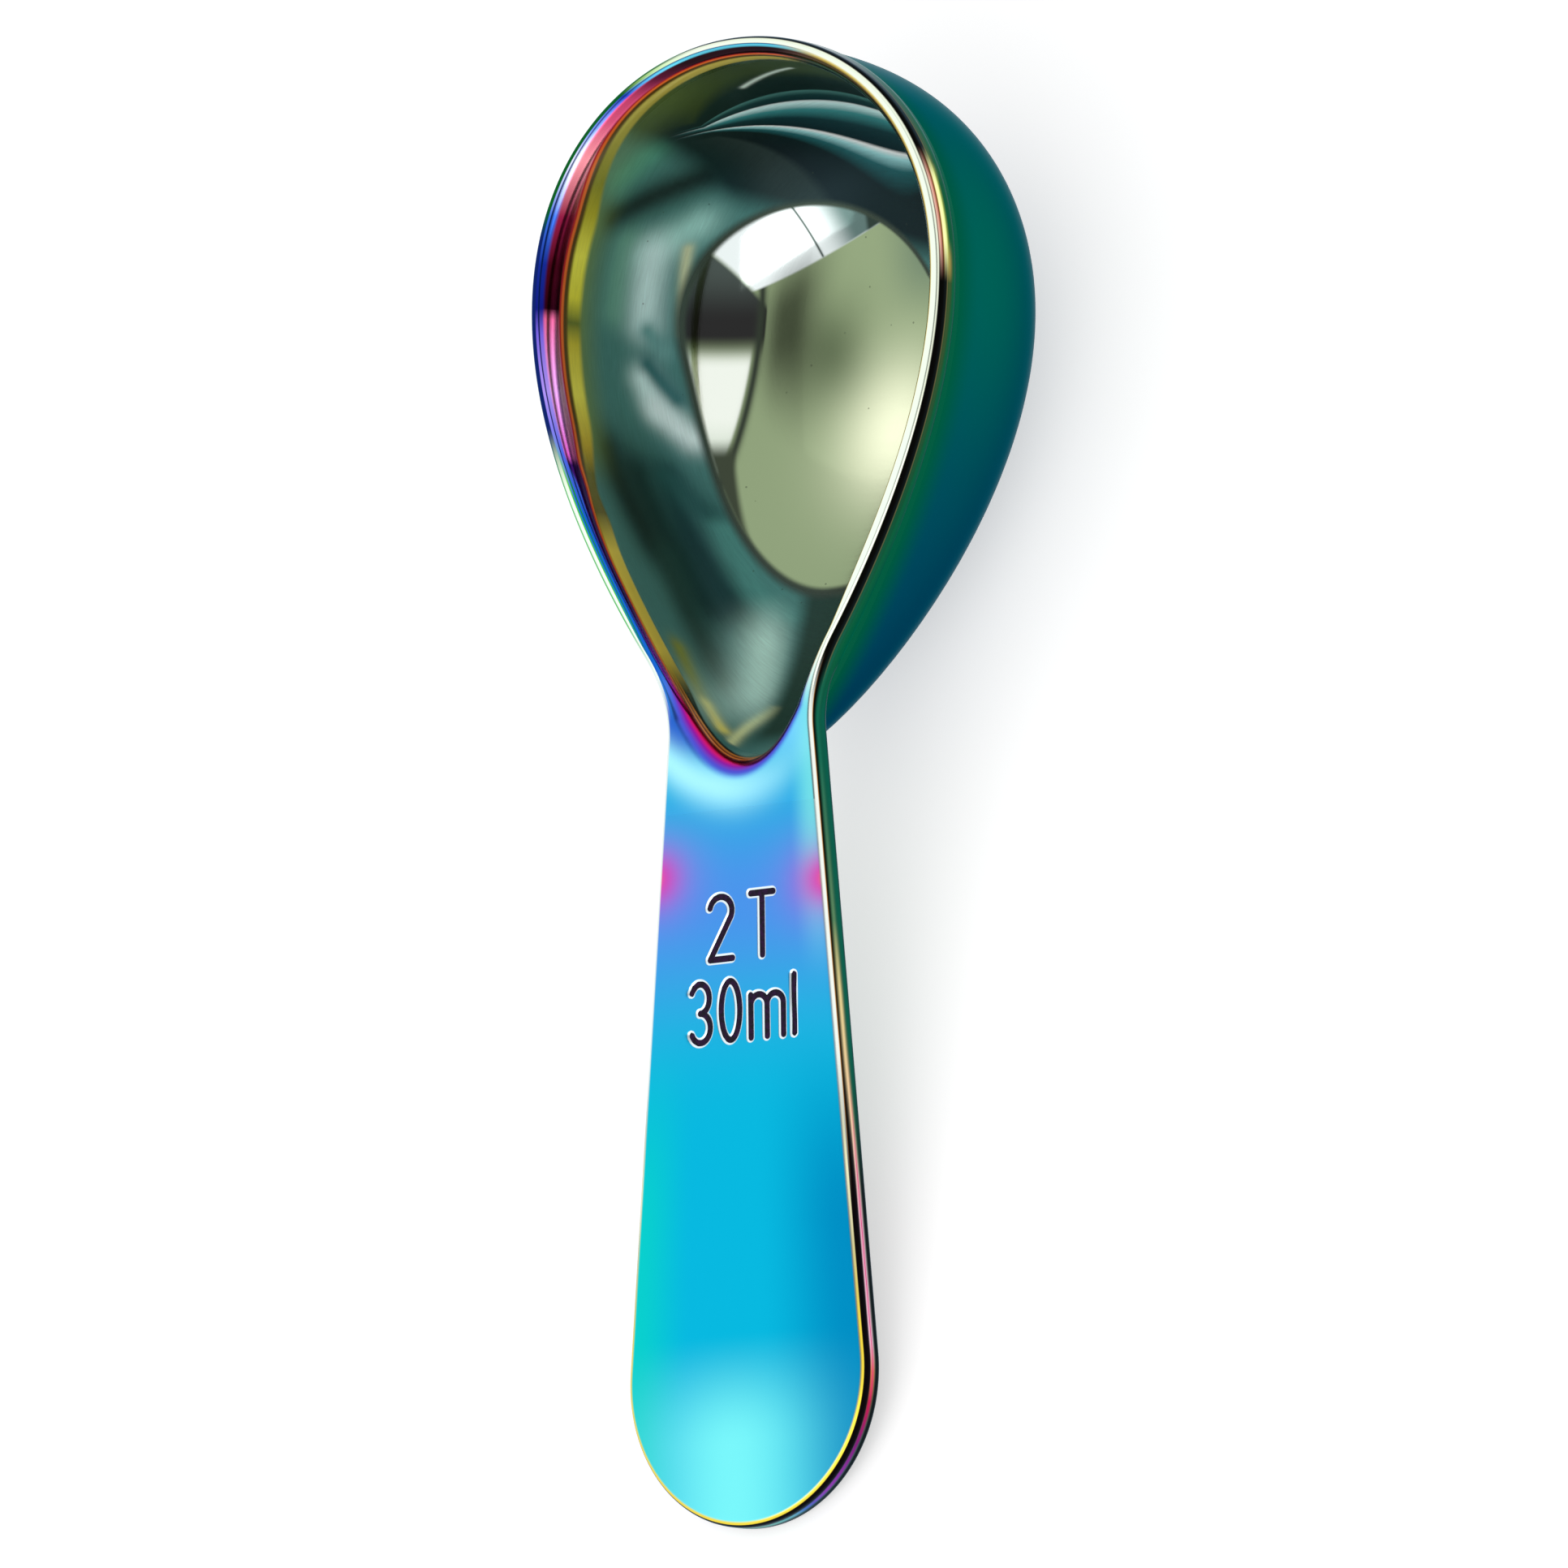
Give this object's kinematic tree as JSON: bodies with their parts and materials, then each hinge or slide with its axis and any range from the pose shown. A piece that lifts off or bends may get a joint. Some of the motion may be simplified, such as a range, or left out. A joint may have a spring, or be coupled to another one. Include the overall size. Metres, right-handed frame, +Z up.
{
  "type": "coffee scoop",
  "caption": "Pressed steel coffee scoop with a deep egg-shaped bowl, a rounded rim and a flat handle that widens to a round end, for measuring ground coffee.",
  "frame": {"origin": "on the table, below the middle of the scoop's box, with the scoop lying on the back of its bowl and the end of its handle", "axes": "+Z up from the table, +Y from the handle towards the nose of the bowl, +X to the right of the handle seen from above with the nose away"},
  "size_m": [0.0446, 0.1254, 0.0286],
  "materials": {
    "bowl_steel": "polished stainless steel with a rainbow interference coat, mostly green and teal",
    "rim_steel": "polished stainless steel with a rainbow interference coat, in bands of green, blue, violet and gold",
    "handle_steel": "polished stainless steel with a rainbow interference coat, mostly cyan and blue",
    "mark_fill": "dark fill in the engraved strokes"
  },
  "bodies": {
    "root": {"bowl": "bowl_steel", "rim": "rim_steel", "handle": "handle_steel", "mark_2": "mark_fill", "mark_T": "mark_fill", "mark_3": "mark_fill", "mark_0": "mark_fill", "mark_m": "mark_fill", "mark_l": "mark_fill"}
  },
  "joints": []
}
